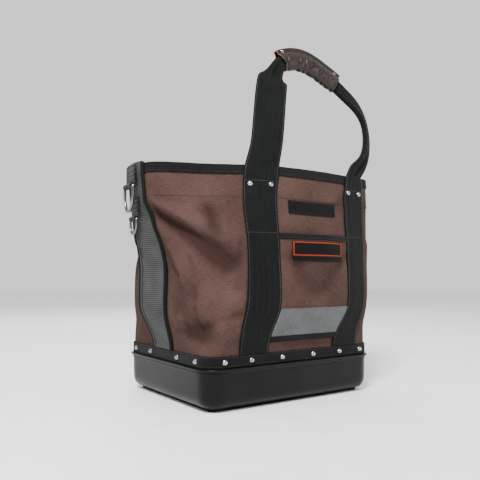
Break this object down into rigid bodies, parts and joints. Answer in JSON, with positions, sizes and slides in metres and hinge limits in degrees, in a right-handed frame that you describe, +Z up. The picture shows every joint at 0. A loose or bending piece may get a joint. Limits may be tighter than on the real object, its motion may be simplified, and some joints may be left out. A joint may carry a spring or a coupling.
{
  "type": "open top tool tote",
  "caption": "Open fabric tool bag on a moulded tray, with webbing straps, leather grips, an outside pocket and hanging rings.",
  "frame": {"origin": "centre of the tray's underside, where the foot rests", "axes": "+X along the front to the right, +Y from the pocket side to the back, +Z up"},
  "size_m": [0.4718, 0.3204, 0.603],
  "materials": {
    "canvas": "coarse woven brown canvas",
    "black_webbing": "black-green woven webbing",
    "ribbed_webbing": "grey ribbed webbing",
    "tray": "satin moulded black",
    "grip_leather": "dark brown, stitched, copper raw edges",
    "rivets": "nickel, domed",
    "ring_steel": "dark nickel",
    "plain_patch": "black woven, blank",
    "bordered_patch": "black woven with an orange-red border, blank"
  },
  "bodies": {
    "tote": {"base_tray": "tray", "bag_body": "canvas", "base_band": "black_webbing", "rim_binding": "black_webbing", "side_strip_left": "ribbed_webbing", "piping_left_front": "black_webbing", "piping_left_back": "black_webbing", "side_strip_right": "ribbed_webbing", "piping_right_back": "black_webbing", "piping_right_front": "black_webbing", "pocket_panel": "canvas", "pocket_webbing": "ribbed_webbing", "pocket_lower_binding": "black_webbing", "pocket_binding": "black_webbing", "label_upper": "plain_patch", "label_lower": "bordered_patch", "strap_front": "black_webbing", "grip_front": "grip_leather", "grip_rivet_front_left": "rivets", "grip_rivet_front_right": "rivets", "strap_rivet_front_up_a": "rivets", "strap_rivet_front_up_b": "rivets", "strap_rivet_front_down_a": "rivets", "strap_rivet_front_down_b": "rivets", "strap_back": "black_webbing", "grip_back": "grip_leather", "grip_rivet_back_left": "rivets", "grip_rivet_back_right": "rivets", "strap_rivet_back_up_a": "rivets", "strap_rivet_back_up_b": "rivets", "strap_rivet_back_down_a": "rivets", "strap_rivet_back_down_b": "rivets", "rivet_front_1": "rivets", "rivet_back_1": "rivets", "rivet_front_2": "rivets", "rivet_back_2": "rivets", "rivet_front_3": "rivets", "rivet_back_3": "rivets", "rivet_front_4": "rivets", "rivet_back_4": "rivets", "rivet_front_5": "rivets", "rivet_back_5": "rivets", "rivet_front_6": "rivets", "rivet_back_6": "rivets", "rivet_left_1": "rivets", "rivet_right_1": "rivets", "rivet_left_2": "rivets", "rivet_right_2": "rivets", "rivet_left_3": "rivets", "rivet_right_3": "rivets", "rivet_left_4": "rivets", "rivet_right_4": "rivets", "ring_tab_upper": "ribbed_webbing", "ring_tab_lower": "ribbed_webbing"},
    "ring_upper": {"d_ring_upper": "ring_steel"},
    "ring_lower": {"d_ring_lower": "ring_steel"}
  },
  "joints": [
    {"name": "ring_upper_swing", "type": "hinge", "parent": "tote", "child": "ring_upper", "pos_m": [-0.22464, 0.01678, 0.343], "axis": [0.0819, 0.9966, 0], "range_deg": [-5, 150]},
    {"name": "ring_lower_swing", "type": "hinge", "parent": "tote", "child": "ring_lower", "pos_m": [-0.21572, 0.01676, 0.291], "axis": [0.0209, 0.9998, 0], "range_deg": [-20, 95]}
  ]
}
